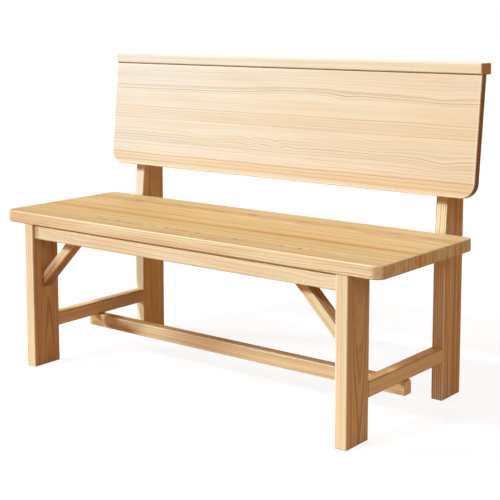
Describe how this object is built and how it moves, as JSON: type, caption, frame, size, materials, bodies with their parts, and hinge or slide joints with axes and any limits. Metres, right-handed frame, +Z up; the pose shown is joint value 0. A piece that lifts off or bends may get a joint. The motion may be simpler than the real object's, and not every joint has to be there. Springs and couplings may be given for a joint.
{
  "type": "park bench",
  "caption": "Straight pine bench with a plank seat on board legs, knee braces, low stretchers and a leaning glued-up back panel under a cap rail.",
  "frame": {"origin": "the middle of the bench at floor level, centred along its length and its depth", "axes": "+X along the bench to the right of someone who looks at its front, -Y out of its front, +Z up"},
  "size_m": [1.2, 0.52, 0.836],
  "materials": {
    "pine_frame": "planed pine, clear matt lacquer",
    "pine_seat": "planed pine, clear satin lacquer, warmed by light and use",
    "pine_back": "planed pine, clear matt lacquer",
    "steel": "bright zinc-plated steel",
    "zinc": "yellow passivated zinc alloy",
    "beech": "plain turned beech"
  },
  "bodies": {
    "root": {"front_leg_left": "pine_frame", "front_leg_right": "pine_frame", "rear_post_left": "pine_frame", "rear_post_right": "pine_frame", "front_apron": "pine_frame", "rear_apron": "pine_frame", "side_apron_left": "pine_frame", "side_apron_right": "pine_frame", "side_stretcher_left": "pine_frame", "side_stretcher_right": "pine_frame", "long_stretcher": "pine_frame", "knee_brace_left": "pine_frame", "knee_brace_right": "pine_frame", "seat_stave_1": "pine_seat", "seat_stave_2": "pine_seat", "seat_stave_3": "pine_seat", "seat_stave_4": "pine_seat", "seat_stave_5": "pine_seat", "back_stave_1": "pine_back", "back_stave_2": "pine_back", "back_stave_3": "pine_back", "back_stave_4": "pine_back", "cap_rail": "pine_back", "seat_screws": "steel", "stretcher_screws": "steel", "brace_screws": "steel", "back_bolts": "steel", "back_washers": "steel", "insert_nuts": "zinc", "cap_dowels": "beech", "brace_dowels": "beech", "stretcher_dowels": "beech"}
  },
  "joints": []
}
